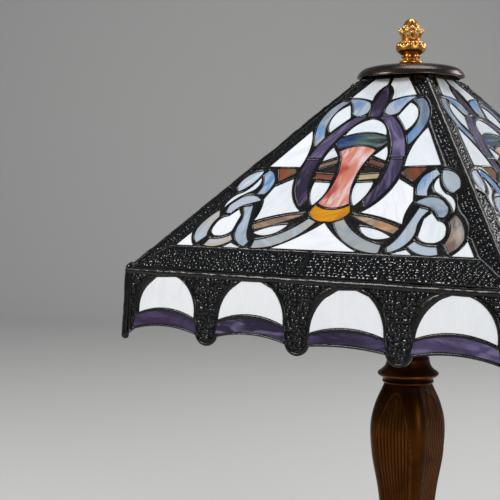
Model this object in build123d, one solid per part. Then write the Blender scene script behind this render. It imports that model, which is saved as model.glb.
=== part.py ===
from build123d import *
import math
import os

# Leaded-glass table lamp: a four-sided pyramid shade with a scalloped skirt, a domed cap and a
# gilt finial, carried on a threaded rod above a square baluster column and a stepped foot.
# Frame: origin at the centre of the foot's underside, +Z up, the shade's front side faces -Y.
# Every length is in millimetres.

# Driving dimensions of the shade
SHADE_HALF = 200.0          # half width of the shade at its shoulder
SHOULDER_Z = 352.0          # height of the shoulder above the table
TOP_HALF = 32.5             # half width of the shade's top opening
PYRAMID_RISE = 190.0        # shoulder to top edge
SKIRT_DROP = 66.0           # shoulder to the tips of the skirt
SKIRT_SPLAY = 3.0           # how far the skirt leans out over its drop
LEAD_THICK = 4.0            # solder network, front to back
GLASS_THICK = 2.8
NET_START = 3.5             # the pyramid's network starts this far up the slope
SKIRT_START = 1.5           # and the skirt's this far below the shoulder
HIP_INSET = 3.2             # from the hip to the network's edge, along the shoulder
CORNER_INSET = 4.3          # the same at the skirt's corners
CORNER_BEAD_R = 4.0         # solder run along hips, shoulder and corners
CORNER_BEAD_SINK = 2.4      # its centre line lies this far inside the edge
CAP_R = 53.0
CAP_RIM_Z = SHOULDER_Z + 186.5
CAP_HEIGHT = 14.0
CAP_THICK = 1.2
BODY_GAP = 0.3              # between pieces of different moving bodies

# Driving dimensions of the stand and the electrics
FOOT_HALF = 92.0
ROD_R = 5.0
ROD_TOP_Z = SHOULDER_Z + 221.5
ROD_FOOT_Z = 20.0
FELT_THICK = 4.0
FOOT_CEILING_Z = 30.0       # top of the hollow under the foot
COLLAR_Z = SHOULDER_Z - 109.0       # the collar's widest ring
COLLAR_R = 30.0
COLUMN_TOP_Z = COLLAR_Z - 10.0
COLUMN_FOOT_Z = 52.0
COLUMN_WALL = 4.0
SOCKET_X = 43.0             # from the rod to each socket's axis
SOCKET_Z = SHOULDER_Z - 22.0
SOCKET_R = 17.0
SOCKET_HEIGHT = 50.0
BULB_R = 30.0
CHAIN_LENGTH = 32.0
GROMMET_BORE_R = 3.6
GROMMET_LENGTH = 12.0
GROMMET_Z = 11.0

SIDES = ("front", "right", "back", "left")
HANDS = {"left": -1, "right": 1}

PYRAMID_RUN = SHADE_HALF - TOP_HALF
SLANT = math.hypot(PYRAMID_RUN, PYRAMID_RISE)
TOP_Z = SHOULDER_Z + PYRAMID_RISE

nodes = {}


# ---------------------------------------------------------------- outlines of the glass
# A pyramid outline is drawn on the side's outer face: u runs along the shoulder from the
# centre line and v up the slope from the shoulder. A pair is a corner, and four numbers are an
# arc: a point that it passes, then its end. Skirt outlines use the depth below the shoulder in
# place of v. Outlines in a PAIRS list are also mirrored about the centre line.

WHITE_PAIRS = [
    [(2, 245.5), (18, 245.5), (35, 222), (23, 220.5, 10.5, 216.5), (8.5, 229, 2, 237)],
    [(33, 211), (46.5, 193, 41, 175.5), (34, 185, 26, 194), (29.5, 203, 33, 211)],
    [(28.5, 155.5), (32, 148, 33.5, 138.5), (19.5, 144.5)],
    [(14, 111), (31, 112), (29.5, 98, 22, 84.5), (15, 97, 14, 111)],
    [(56, 131.5), (91, 132.5), (62.5, 178), (55.3, 155, 56, 131.5)],
    [(56, 116), (73.5, 106), (78.5, 91), (76, 78, 77.5, 65), (55, 72.5, 32.5, 77), (48.5, 94, 56, 116)],
    [(38, 60.5), (55, 58, 71.5, 50.5), (55, 48.5, 38, 60.5)],
    [(94.5, 117.5), (93, 108, 98, 101), (111, 92.3, 121, 79.5), (116.5, 92.5, 107, 99),
     (99, 107.5, 94.5, 117.5)],
    [(101.5, 77.5), (96.5, 71), (97.5, 52), (103, 47.5, 111.5, 46), (120, 50, 120.5, 58),
     (116, 66.5, 109.5, 69)],
    [(79, 32.5), (98, 32.5), (91.5, 37.5)],
    [(134.5, 33), (154, 33), (143.5, 48.5), (140.5, 40.5, 134.5, 33)],
]
WHITE_CENTRE = [
    [(-22, 170.5), (-12, 186, 0, 191), (12, 186, 22, 170.5), (0, 175, -22, 170.5)],
    [(-44, 33.5), (-22, 46, 0, 64), (22, 46, 44, 33.5)],
]
BLUE_PAIRS = [
    [(36, 219), (24, 218.5, 13, 214), (9, 207, 10, 200), (17, 196.5, 25, 199.5), (28, 209, 36, 219)],
    [(36, 215.5), (43.5, 217), (54, 204.5, 58.8, 189), (56.5, 172, 50, 157.5), (44.5, 169),
     (48.8, 191, 36, 215.5)],
    [(18.5, 68.5), (42, 49.8, 66, 41.5), (66, 33), (38, 39, 10, 65)],
    [(97.5, 80.5), (88, 83), (84.5, 68, 80.5, 52), (77, 45, 72.5, 39.5), (75, 34.5), (88.5, 43, 93, 58),
     (92.5, 70, 97.5, 80.5)],
    [(94, 121.5), (89, 127), (77.5, 113, 81, 97.5), (90, 97), (88, 110, 94, 121.5)],
    [(95.5, 126), (111, 120, 117.5, 106), (113.5, 100.5), (103, 109, 95.5, 126)],
    [(82, 89.5), (98, 95, 111, 87), (115.5, 80, 114, 73.5), (109, 73.5), (103, 81, 95, 85)],
    [(124, 76), (121, 68.5), (125.5, 56, 124.5, 45), (131.5, 36.5), (137, 42, 139.5, 51),
     (134, 65, 124, 76)],
    [(121.5, 34), (118, 41.5), (105, 42.5, 96, 46.5), (92, 41.5), (105, 34, 121.5, 34)],
]
PURPLE_PAIRS = [
    [(8, 194.5), (20, 194), (40.5, 169.5, 51, 143), (37.5, 143), (29.5, 167, 8, 194.5)],
    [(38, 139.5), (51.5, 139.5), (49, 106, 34.5, 83), (29.5, 91), (38.5, 114, 38, 139.5)],
]
PURPLE_CENTRE = [
    [(-4.5, 195), (4.5, 195), (6.5, 214, 0, 234), (-6.5, 214, -4.5, 195)],
]
ACCENT_PAIRS = [
    [(17.5, 140.5), (34.5, 134), (34.5, 129.5), (17, 135.5)],
    [(15.5, 132), (33.5, 126.5), (15, 124.5)],
    [(13.5, 121), (33.5, 122.5), (33.5, 117), (14.5, 115)],
    [(57, 124), (60, 129), (79, 129), (74.5, 120, 71.5, 113.5)],
    [(25, 73.5), (52, 69, 76.5, 60), (73, 54.5), (52, 61.5, 25, 73.5)],
]
ACCENT_CENTRE = [
    [(-27.5, 161), (-23, 168), (0, 172.5, 23, 168), (27.5, 161), (20, 153.5), (0, 159, -20, 153.5)],
    [(-18.5, 151), (0, 156.5, 18.5, 151), (9.5, 119, 16, 87), (0, 82, -16, 87), (-9.5, 119, -18.5, 151)],
    [(-21, 76.5), (-18, 84.5), (0, 79, 18, 84.5), (21, 76.5), (13, 68.5, 0, 66), (-13, 68.5, -21, 76.5)],
]
BORDER_PAIRS = [
    [(2.5, 6), (190, 6), (160, 29.5), (2.5, 29.5)],
    [(189.5, 9.5), (126.5, 104), (119, 98.5), (123.5, 86), (128.5, 79), (140, 65, 143.5, 53),
     (147, 51.5), (159, 33.5)],
    [(110.5, 127), (33.5, 244), (22, 246), (39, 222.5), (47, 219), (57, 205.5, 62.5, 187), (67, 178.5),
     (97.5, 131)],
]
BORDER_CENTRE = [
    [(-27, 248), (27, 248), (24.5, 251.8), (-24.5, 251.8)],
]

BAY = SHADE_HALF / 2                # from one arch of the skirt to the next
BAY_CENTRES = [BAY * (i - 1.5) for i in range(4)]
# Cut by hand, so no two arches in a row are alike. The third row of each list sits lower.
ARCHES = [
    [(-31.5, 40), (-28.7, 24, -20, 13), (-10.5, 6), (13.5, 4.7), (30.7, 18.5, 35.3, 40.8), (1, 34, -31.5, 40)],
    [(-35.4, 40.3), (-30.5, 23, -21.3, 12), (-10.5, 4.8), (11, 4.5), (22.5, 9.4), (32.8, 23, 35.5, 40),
     (0, 33.3, -35.4, 40.3)],
    [(-36.3, 44.4), (-31, 26, -21.5, 14.5), (-8.5, 7), (9, 6.2), (21, 10.6), (32.2, 25, 35.8, 43),
     (-1, 37.8, -36.3, 44.4)],
    [(-35, 40.8), (-27.5, 22, -12, 8), (-4, 5), (11, 5.2), (30, 19, 35.4, 40.5), (0, 34, -35, 40.8)],
]
UPPER_CRESCENT = [(-36.5, 44), (0, 37.5, 36.5, 44), (39, 54.5), (0, 49.5, -39, 54.5)]
LOWER_CRESCENT = [(-37, 47.6), (-1, 41.4, 36.5, 46.3), (39, 54.6), (0, 51.9, -39, 54.6)]
CRESCENTS = [UPPER_CRESCENT, UPPER_CRESCENT, LOWER_CRESCENT, UPPER_CRESCENT]
PILLAR = [(-34, 4), (34, 4), (15.7, 18, 12, 40.5), (9.5, 55), (0, 62.5, -9.5, 55), (-12, 40.5),
          (-15.7, 18, -34, 4)]
CORNER_PILLAR = [(7, 4), (34, 4), (15.7, 18, 12, 40.5), (10.5, 54), (7, 59)]
SCALLOP_TOPS = [52.0, 52.0, 54.6, 52.2]         # the skirt's lower edge, in the middle of each arch
PILLAR_EDGE = (12.0, 57.0)          # where a pillar's rounded tip begins: half width, depth


def mirrored(points):
    return [tuple(-x if i % 2 == 0 else x for i, x in enumerate(p)) for p in points]


def shifted(points, distance):
    return [tuple(x + distance if i % 2 == 0 else x for i, x in enumerate(p)) for p in points]


def downward(points):
    return [tuple(x if i % 2 == 0 else -x for i, x in enumerate(p)) for p in points]


def both_hands(pairs, centre=()):
    return pairs + [mirrored(p) for p in pairs] + list(centre)


def wire_of(points):
    edges = []
    here = points[0]
    for point in points[1:]:
        end = point[-2:]
        if len(point) == 2:
            edges.append(Line(here, end))
        else:
            edges.append(ThreePointArc(here, point[:2], end))
        here = end
    if here != points[0]:
        edges.append(Line(here, points[0]))
    return Wire(edges)


# ---------------------------------------------------------------- the four sides of the shade

def pyramid_plane():
    return Plane(origin=(0, -SHADE_HALF, SHOULDER_Z), x_dir=(1, 0, 0),
                 z_dir=(0, -PYRAMID_RISE, PYRAMID_RUN))


def skirt_plane():
    return Plane(origin=(0, -SHADE_HALF, SHOULDER_Z), x_dir=(1, 0, 0),
                 z_dir=(0, -SKIRT_DROP, SKIRT_SPLAY))


def plate(plane, outer, holes, depth, thick):
    """A flat plate below the plane: its outline, its windows, how deep it starts, its thickness."""
    face = Face(wire_of(outer), [wire_of(h) for h in holes])
    solid = extrude(face, amount=thick, dir=(0, 0, 1))
    return plane * Pos(0, 0, -depth - thick) * solid


def around(shape, side):
    return Rot(0, 0, 90 * SIDES.index(side)) * shape


def pyramid_outline():
    def half(v):
        return SHADE_HALF - PYRAMID_RUN * v / SLANT - HIP_INSET
    bottom, top = NET_START, SLANT - 0.5
    return [(-half(bottom), bottom), (half(bottom), bottom), (half(top), top), (-half(top), top)]


def skirt_outline():
    half = SHADE_HALF - CORNER_INSET
    width, depth = PILLAR_EDGE
    reach = BAY / 2 - width
    corner_depth = SKIRT_DROP - 4
    points = [(-half, SKIRT_START), (half, SKIRT_START), (half, corner_depth),
              (BAY_CENTRES[-1] + reach, depth)]
    for centre, top in reversed(list(zip(BAY_CENTRES, SCALLOP_TOPS))):
        points.append((centre, top, centre - reach, depth))
        tip = centre - BAY / 2
        if centre != BAY_CENTRES[0]:
            points.append((tip, SKIRT_DROP, tip - width, depth))
    points.append((-half, corner_depth))
    return points


def glass_plates(plane, outlines):
    depth = (LEAD_THICK - GLASS_THICK) / 2
    return [plate(plane, points, [], depth, GLASS_THICK) for points in outlines]


def add_sides():
    colours = {
        "white_glass": both_hands(WHITE_PAIRS, WHITE_CENTRE),
        "blue_glass": both_hands(BLUE_PAIRS),
        "purple_glass": both_hands(PURPLE_PAIRS, PURPLE_CENTRE),
        "accent_glass": both_hands(ACCENT_PAIRS, ACCENT_CENTRE),
    }
    border = both_hands(BORDER_PAIRS, BORDER_CENTRE)
    arches = [downward(shifted(arch, x)) for arch, x in zip(ARCHES, BAY_CENTRES)]
    crescents = [downward(shifted(crescent, x)) for crescent, x in zip(CRESCENTS, BAY_CENTRES)]
    pillars = [downward(shifted(PILLAR, x + BAY / 2)) for x in BAY_CENTRES[:-1]]
    corner = downward(shifted(mirrored(CORNER_PILLAR), SHADE_HALF))
    pillars += [corner, mirrored(corner)]

    sloping, upright = pyramid_plane(), skirt_plane()
    every_piece = sum(colours.values(), []) + border
    net = plate(sloping, pyramid_outline(), every_piece, 0, LEAD_THICK)
    skirt_net = plate(upright, downward(skirt_outline()), arches + crescents + pillars, 0, LEAD_THICK)
    pieces = {name: glass_plates(sloping, outlines) for name, outlines in colours.items()}
    pieces["black_glass"] = glass_plates(sloping, border) + glass_plates(upright, pillars)
    pieces["skirt_white_glass"] = glass_plates(upright, arches)
    pieces["skirt_purple_glass"] = glass_plates(upright, crescents)
    for side in SIDES:
        nodes[side + "_solder_net"] = around(net, side)
        nodes[side + "_skirt_solder_net"] = around(skirt_net, side)
        for name, plates in pieces.items():
            nodes[side + "_" + name] = Compound(children=[around(p, side) for p in plates])


def rod_between(start, end, radius):
    start, end = Vector(*start), Vector(*end)
    axis = Plane(origin=start, z_dir=end - start)
    return extrude(axis * Circle(radius), amount=(end - start).length)


def bead_between(start, end):
    """A twelve-sided run of solder, a little longer than its span so that the runs meet at a corner."""
    start, end = Vector(*start), Vector(*end)
    along = (end - start).normalized() * 1.5
    section = Plane(origin=start - along, z_dir=along) * RegularPolygon(CORNER_BEAD_R, 12)
    return extrude(section, amount=(end - start + along * 2).length)


def add_corner_solder():
    sink = CORNER_BEAD_SINK
    shoulder = SHADE_HALF - sink
    hip_end_half = 40.0             # the hip's solder stops just outside the cap's rim
    hip_end_z = SHOULDER_Z + PYRAMID_RISE * (SHADE_HALF - hip_end_half) / PYRAMID_RUN
    levels = [
        (hip_end_half - sink / 2, hip_end_z - sink),
        (shoulder, SHOULDER_Z - sink / 2),
        (SHADE_HALF + SKIRT_SPLAY - sink, SHOULDER_Z - SKIRT_DROP - 1),
    ]
    beads = None
    for turn in range(4):
        places = [(half, -half, z) for half, z in levels]
        top, corner, tip = [Vector(*p).rotate(Axis.Z, 90 * turn) for p in places]
        following = corner.rotate(Axis.Z, 90)
        for end in (top, tip, following):
            run = bead_between(corner, end)
            beads = run if beads is None else beads + run
    slope = plate(pyramid_plane(), pyramid_outline(), [], 0, LEAD_THICK)
    wall = plate(skirt_plane(), downward(skirt_outline()), [], 0, LEAD_THICK)
    for side in SIDES:
        beads = beads - around(slope, side) - around(wall, side)
    nodes["corner_solder"] = max(beads.solids(), key=lambda s: s.volume)


def turned(profile, start=(0, 0)):
    """A solid of revolution about Z from (radius, height) points and arcs, placed at start."""
    face = Face(wire_of(profile))
    solid = revolve(Plane.XZ * face, Axis.Z)
    return Pos(start[0], start[1], 0) * solid


def add_cap():
    hole = ROD_R + BODY_GAP
    low, high = CAP_RIM_Z, CAP_RIM_Z + CAP_HEIGHT
    t = CAP_THICK
    outside = [(hole, high), (14, high), (33, high - 1.7, CAP_R - 6, high - 5.0),
               (CAP_R - 1.5, high - 8.5, CAP_R, low)]
    inside = [(CAP_R - t, low), (CAP_R - 2.7, high - 9.0, CAP_R - 7, high - 6.0),
              (33, high - 1.7 - t, 14, high - t), (hole, high - t)]
    nodes["vase_cap"] = turned(outside + inside)
    ring_low = TOP_Z + 0.2
    ring_r = CAP_R - 3.2
    nodes["top_ring"] = turned([(24, ring_low), (ring_r, ring_low), (ring_r, ring_low + 1.5),
                                (24, ring_low + 1.5)])


def add_finial():
    base = CAP_RIM_Z + CAP_HEIGHT + BODY_GAP
    bore = ROD_R + 0.05
    top = base + 45.0
    profile = [(bore, base), (11.3, base), (12.5, base + 1.5, 11.3, base + 3.2), (8.2, base + 4),
               (6.8, base + 6.5), (8.0, base + 8.2), (13, base + 10, 14.6, base + 15),
               (14, base + 19.5, 9.6, base + 22), (9.6, base + 24.5), (11, base + 26, 13, base + 29),
               (12.4, base + 33, 8.5, base + 36), (5, base + 39.5, 1.2, top - 0.8), (0, top),
               (0, base + 22.5), (bore, base + 22.5)]
    nodes["finial"] = turned(profile)


# ---------------------------------------------------------------- rod, sockets and bulbs

def add_rod_and_seat():
    nodes["centre_rod"] = rod_between((0, 0, ROD_FOOT_Z), (0, 0, ROD_TOP_Z), ROD_R)
    seat = CAP_RIM_Z + CAP_HEIGHT - CAP_THICK - BODY_GAP
    nodes["seat_washer"] = turned([(ROD_R, seat - 2), (15, seat - 2), (15, seat), (ROD_R, seat)])
    nut = extrude(RegularPolygon(9.5, 6), amount=6) - Cylinder(ROD_R, 40)
    nodes["seat_nut"] = Pos(0, 0, seat - 8) * nut


def add_cluster():
    hub = turned([(ROD_R, SOCKET_Z - 16), (13, SOCKET_Z - 16), (16, SOCKET_Z - 12), (16, SOCKET_Z + 6),
                  (13, SOCKET_Z + 10), (ROD_R, SOCKET_Z + 10)])
    body = hub
    cup = [(0, SOCKET_Z - 12), (9, SOCKET_Z - 12), (11, SOCKET_Z - 4), (11, SOCKET_Z), (0, SOCKET_Z)]
    for sign in HANDS.values():
        arm = rod_between((0, 0, SOCKET_Z - 6), (sign * SOCKET_X, 0, SOCKET_Z - 6), 5)
        body = body + arm + turned(cup, (sign * SOCKET_X, 0))
    nodes["cluster_body"] = body - Pos(0, 0, SOCKET_Z) * Cylinder(ROD_R, 80)


def add_sockets():
    z = SOCKET_Z
    r, top, wall = SOCKET_R, SOCKET_Z + SOCKET_HEIGHT, 1.6
    shell = [(0, z), (10, z), (r, z + 8), (r, z + 30), (r - 1, z + 32), (r - 1, top), (r - 1 - wall, top),
             (r - 1 - wall, z + 25), (0, z + 25)]
    base_r = 13.2
    base_low = z + 26
    bulb_z = top + 3.0
    screw = [(0, base_low), (5, base_low), (base_r, base_low + 6), (base_r, bulb_z - 1), (12, bulb_z),
             (0, bulb_z)]
    neck = math.sqrt(BULB_R ** 2 - 22 ** 2)
    centre = bulb_z + 25 + neck
    glass = [(0, bulb_z), (12, bulb_z), (15, bulb_z + 13, 22, bulb_z + 25),
             (BULB_R, centre, 0, centre + BULB_R)]
    outlet_z = z + 16
    for hand, sign in HANDS.items():
        x = sign * SOCKET_X
        shell_body = turned(shell, (x, 0))
        outlet = rod_between((x + sign * (r - 3), 0, outlet_z), (x + sign * (r + 9), 0, outlet_z), 4.5)
        chain_x = x + sign * (r + 6)
        guide = Pos(chain_x, 0, outlet_z) * Cylinder(2.4, 30)
        nodes[hand + "_socket"] = shell_body + (outlet - turned([(0, z), (r - 2, z), (r - 2, top), (0, top)],
                                                                (x, 0))) - guide
        nodes[hand + "_bulb_base"] = turned(screw, (x, 0))
        nodes[hand + "_bulb_glass"] = turned(glass, (x, 0))
        nodes[hand + "_pull_chain"] = pull_chain(chain_x, outlet_z)


def pull_chain(x, outlet_z):
    """A bead chain with a bell knob, hanging from inside the outlet."""
    bead_r, link_r, pitch = 1.6, 0.7, 4.0
    half_bead = math.sqrt(bead_r ** 2 - link_r ** 2)
    top = outlet_z + 2.0
    profile = [(0, top), (link_r, top)]
    for i in range(int(CHAIN_LENGTH / pitch)):
        z = top - pitch * (i + 0.5)
        profile += [(link_r, z + half_bead), (bead_r, z, link_r, z - half_bead)]
    foot = top - CHAIN_LENGTH
    profile += [(link_r, foot), (2.2, foot), (2.8, foot - 6), (4.9, foot - 15), (3.5, foot - 17),
                (0, foot - 17)]
    return turned(profile, (x, 0))


# ---------------------------------------------------------------- the stand

def square_section(half, corner, z):
    return Pos(0, 0, z) * RectangleRounded(2 * half, 2 * half, corner)


def add_column():
    low, high = COLUMN_FOOT_Z, COLUMN_TOP_Z
    stations = [(low, 31.0), (low + 14, 24.5), (low + 42, 22.0), (low + 74, 24.5), (low + 108, 29.5),
                (low + 138, 31.0), (low + 160, 27.5), (high, 20.0)]
    rounding = 0.42
    outer = loft([square_section(h, h * rounding, z) for z, h in stations])
    inner = loft([square_section(h - COLUMN_WALL, (h - COLUMN_WALL) * rounding, z) for z, h in stations])
    nodes["column"] = outer - inner


def add_collar():
    z = COLLAR_Z
    profile = [(ROD_R, z + 42), (8, z + 42), (9.5, z + 30), (13, z + 22, 21, z + 17),
               (23, z + 8, COLLAR_R - 1, z + 2.5), (COLLAR_R + 0.6, z + 0.5, COLLAR_R - 0.5, z - 1.5),
               (25, z - 4), (25.5, z - 7, 23, z - 10),
               (14, z - 10), (14, z - 14), (ROD_R, z - 14)]
    nodes["collar"] = turned(profile)


def add_foot():
    steps = [(FELT_THICK, 18, FOOT_HALF, 12), (18, 27, FOOT_HALF - 9, 10), (27, 33, FOOT_HALF - 26, 9)]
    hollows = [(FELT_THICK, 14, FOOT_HALF - 8, 8), (14, 23, FOOT_HALF - 18, 7), (23, FOOT_CEILING_Z, 50, 6)]
    neck = loft([square_section(half, corner, z) for half, corner, z in
                 ((FOOT_HALF - 31, 9, 33), (44, 10, 38), (35, 11, 45), (33, 12, COLUMN_FOOT_Z))])
    foot = neck
    for low, high, half, corner in steps:
        foot = foot + extrude(square_section(half, corner, low), amount=high - low)
    for low, high, half, corner in hollows:
        foot = foot - extrude(square_section(half, corner, low), amount=high - low)
    foot = foot - rod_between((0, 0, ROD_FOOT_Z), (0, 0, COLUMN_FOOT_Z + 1), ROD_R)
    nodes["foot"] = foot - rod_between((0, FOOT_HALF - 26, GROMMET_Z), (0, FOOT_HALF + 1, GROMMET_Z), 5.2)
    nodes["felt_pad"] = extrude(square_section(FOOT_HALF - 2, 11, 0), amount=FELT_THICK)
    washer_low = FOOT_CEILING_Z - 2
    nut = extrude(Pos(0, 0, washer_low - 5) * RegularPolygon(9.5, 6), amount=5)
    washer = extrude(Pos(0, 0, washer_low) * Circle(16), amount=2)
    nodes["base_nut"] = nut + washer - rod_between((0, 0, ROD_FOOT_Z), (0, 0, FOOT_CEILING_Z), ROD_R)
    outside = FOOT_HALF + 1.5
    inside = outside - GROMMET_LENGTH
    tube = rod_between((0, inside, GROMMET_Z), (0, outside, GROMMET_Z), 5.2)
    flange = rod_between((0, FOOT_HALF, GROMMET_Z), (0, outside, GROMMET_Z), 7.0)
    bore = rod_between((0, inside - 1, GROMMET_Z), (0, outside + 1, GROMMET_Z), GROMMET_BORE_R)
    nodes["cord_grommet"] = tube + flange - bore


add_sides()
add_corner_solder()
add_cap()
add_finial()
add_rod_and_seat()
add_cluster()
add_sockets()
add_collar()
add_column()
add_foot()

os.makedirs("parts", exist_ok=True)
for name, shape in nodes.items():
    export_step(shape, os.path.join("parts", name + ".step"))
    print(name, len(shape.solids()), round(shape.volume))
print(len(nodes), "nodes")
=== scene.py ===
"""Looks for a leaded-glass table lamp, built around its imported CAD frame. Blender 4.5."""
from math import ceil, cos, dist, pi, radians, sin, sqrt

import bpy
import numpy as np
from mathutils import Matrix, Vector, noise
from mathutils.geometry import delaunay_2d_cdt
from mathutils.kdtree import KDTree


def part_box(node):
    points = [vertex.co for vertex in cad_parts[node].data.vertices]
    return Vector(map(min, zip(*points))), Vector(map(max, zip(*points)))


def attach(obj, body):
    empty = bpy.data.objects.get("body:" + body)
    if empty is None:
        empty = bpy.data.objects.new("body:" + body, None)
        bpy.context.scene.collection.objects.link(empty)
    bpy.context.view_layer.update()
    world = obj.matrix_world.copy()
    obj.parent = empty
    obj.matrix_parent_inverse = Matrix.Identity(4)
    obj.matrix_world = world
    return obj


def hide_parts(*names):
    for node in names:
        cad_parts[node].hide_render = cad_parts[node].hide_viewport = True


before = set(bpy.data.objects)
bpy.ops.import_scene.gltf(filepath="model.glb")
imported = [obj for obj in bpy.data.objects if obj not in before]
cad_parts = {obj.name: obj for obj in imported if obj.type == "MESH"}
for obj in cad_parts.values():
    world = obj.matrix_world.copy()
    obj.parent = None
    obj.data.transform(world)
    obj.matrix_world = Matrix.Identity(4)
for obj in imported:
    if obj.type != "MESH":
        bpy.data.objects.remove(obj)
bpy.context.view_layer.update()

# Outlines and reliefs are worked out in millimetres. Meshes are in metres, in the row frame.
MM = 0.001
SIDES = ("front", "right", "back", "left")
SIDE_TURNS = [Matrix.Rotation(radians(90 * i), 4, "Z") for i in range(4)]


# ---- reading the CAD frame

def normals_of(points, triangles):
    """Each triangle's normal, or a number if the points are flat. Its size is twice the area."""
    a, b, c = (points[triangles[:, i]] for i in range(3))
    return np.cross(b - a, c - a)


def border_edges(triangles):
    """The edges that only one triangle has, as that triangle runs."""
    edges = {(i, j) for t in triangles for i, j in zip(t, np.roll(t, -1))}
    return [(i, j) for i, j in edges if (j, i) not in edges]


def node_mesh(name):
    """A CAD node's points and triangles, with the points that share a place merged."""
    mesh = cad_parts[name].data
    points = np.empty(len(mesh.vertices) * 3)
    mesh.vertices.foreach_get("co", points)
    points = points.reshape(-1, 3)
    mesh.calc_loop_triangles()
    corners = np.empty(len(mesh.loop_triangles) * 3, np.int64)
    mesh.loop_triangles.foreach_get("vertices", corners)
    keys = np.round(points * 1e6).astype(np.int64)
    _, first, index = np.unique(keys, axis=0, return_index=True, return_inverse=True)
    return points[first], index.reshape(-1)[corners].reshape(-1, 3)


def outer_plane(name):
    """The unit normal and offset of the large face of a front node that looks outwards."""
    points, triangles = node_mesh(name)
    normals = normals_of(points, triangles)
    size = np.linalg.norm(normals, axis=1)
    unit = normals / np.maximum(size, 1e-15)[:, None]
    facing = (unit[:, 1] < -0.5) & (unit[:, 2] > -0.01) & (np.abs(unit[:, 0]) < 0.001)
    main = unit[np.argmax(np.where(facing, size, 0))]
    alike = facing & (unit @ main > 0.9999)
    normal = (unit[alike] * size[alike, None]).sum(axis=0)
    normal /= np.linalg.norm(normal)
    return normal, float((points[triangles[alike, 0]] @ normal).max())


def side_frames():
    """Matrices from the front side's own axes (u along the shoulder, v up, w out) to the row frame."""
    slope, wall = outer_plane("front_solder_net"), outer_plane("front_skirt_solder_net")
    rows = np.array([slope[0][1:], wall[0][1:]])
    y, z = np.linalg.solve(rows, [slope[1], wall[1]])
    frames = []
    for normal in (slope[0], wall[0]):
        out = Vector(normal)
        across = Vector((1, 0, 0))
        up = out.cross(across)
        turned = Matrix((across, up, out)).transposed().to_4x4()
        frames.append(Matrix.Translation((0, y, z)) @ turned)
    return frames


SLOPE, WALL = side_frames()
SHOULDER_HALF = -SLOPE.translation.y / MM
SHOULDER_Z = SLOPE.translation.z / MM


def outlines(name, side_frame):
    """The closed outlines of a front node's outer face, in the side's own millimetres."""
    points, triangles = node_mesh(name)
    to_side = np.array(side_frame.inverted())
    local = (points @ to_side[:3, :3].T + to_side[:3, 3]) / MM
    normals = normals_of(local, triangles)
    facing = normals[:, 2] > 0.99 * np.linalg.norm(normals, axis=1)
    outer = facing & (local[triangles[:, 0], 2] > local[:, 2].max() - 0.05)
    following = dict(border_edges(triangles[outer]))
    loops = []
    while following:
        start, here = following.popitem()
        loop = [start]
        while here != start:
            loop.append(here)
            here = following.pop(here)
        loops.append(local[loop, :2])
    return loops


# ---- flat regions with dense meshes

CORNER_TURN = radians(24)           # a sharper turn than this in an outline is a corner
LONG_RUN = 8.0                      # a longer segment is a straight run
EDGE_STEP = 0.35                    # between the points that distances from an edge are measured to


def rounded(loop, step):
    """The outline with points about a step apart, and its faceted arcs made round again."""
    count = len(loop)
    run = np.roll(loop, -1, axis=0) - loop
    length = np.linalg.norm(run, axis=1)
    way = run / length[:, None]
    before = np.roll(way, 1, axis=0)
    turn = np.arccos(np.clip((way * before).sum(axis=1), -1, 1))
    straight = length > LONG_RUN
    sharp = (turn > CORNER_TURN) | straight | np.roll(straight, 1)
    mean = way + before
    mean /= np.maximum(np.linalg.norm(mean, axis=1), 1e-9)[:, None]
    leaving = np.where(sharp[:, None], way, mean)
    arriving = np.where(np.roll(sharp, -1)[:, None], way, np.roll(mean, -1, axis=0))
    points = []
    for i in range(count):
        pieces = max(1, ceil(length[i] / step))
        t = (np.arange(pieces) / pieces)[:, None]
        start, end = loop[i], loop[(i + 1) % count]
        curve = (2 * t ** 3 - 3 * t ** 2 + 1) * start + (3 * t ** 2 - 2 * t ** 3) * end
        curve += ((t ** 3 - 2 * t ** 2 + t) * leaving[i] + (t ** 3 - t ** 2) * arriving[i]) * length[i]
        points.append(curve)
    return np.concatenate(points)


def inside(points, loop):
    """Which points lie inside a closed outline."""
    found = np.zeros(len(points), bool)
    low, high = loop.min(axis=0), loop.max(axis=0)
    near = np.nonzero(((points > low) & (points < high)).all(axis=1))[0]
    x, y = points[near, 0], points[near, 1]
    crossings = np.zeros(len(near), bool)
    for (x0, y0), (x1, y1) in zip(loop, np.roll(loop, -1, axis=0)):
        if y0 != y1:
            crossings ^= ((y0 > y) != (y1 > y)) & (x < (x1 - x0) * (y - y0) / (y1 - y0) + x0)
    found[near] = crossings
    return found


def within(points, loops):
    """Which points lie inside the first outline and outside the others."""
    found = inside(points, loops[0])
    for hole in loops[1:]:
        found &= ~inside(points, hole)
    return found


def at_height(flat, height):
    """Flat points in space, at one height for all or one for each."""
    return np.column_stack([flat, np.broadcast_to(height, len(flat))])


def tree_of(points):
    tree = KDTree(len(points))
    for i, p in enumerate(points):
        tree.insert((p[0], p[1], 0), i)
    tree.balance()
    return tree


def tree_on(loops):
    return tree_of(np.concatenate([rounded(loop, EDGE_STEP) for loop in loops]))


def distances(points, tree):
    return np.array([tree.find((p[0], p[1], 0))[2] for p in points])


def offset_points(loop, distance):
    """Points beside an outline, on its right-hand side as it runs."""
    run = np.roll(loop, -1, axis=0) - np.roll(loop, 1, axis=0)
    run /= np.maximum(np.linalg.norm(run, axis=1), 1e-9)[:, None]
    return loop + np.stack([run[:, 1], -run[:, 0]], axis=1) * distance


def thinned(points, gap):
    """The points, less those that crowd an earlier one."""
    tree = tree_of(points)
    kept = np.ones(len(points), bool)
    for i, p in enumerate(points):
        if kept[i]:
            for _, j, _ in tree.find_range((p[0], p[1], 0), gap):
                if j > i:
                    kept[j] = False
    return points[kept]


def area_of(loop):
    x, y = loop.T
    return 0.5 * float((x * np.roll(y, -1) - y * np.roll(x, -1)).sum())


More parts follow.
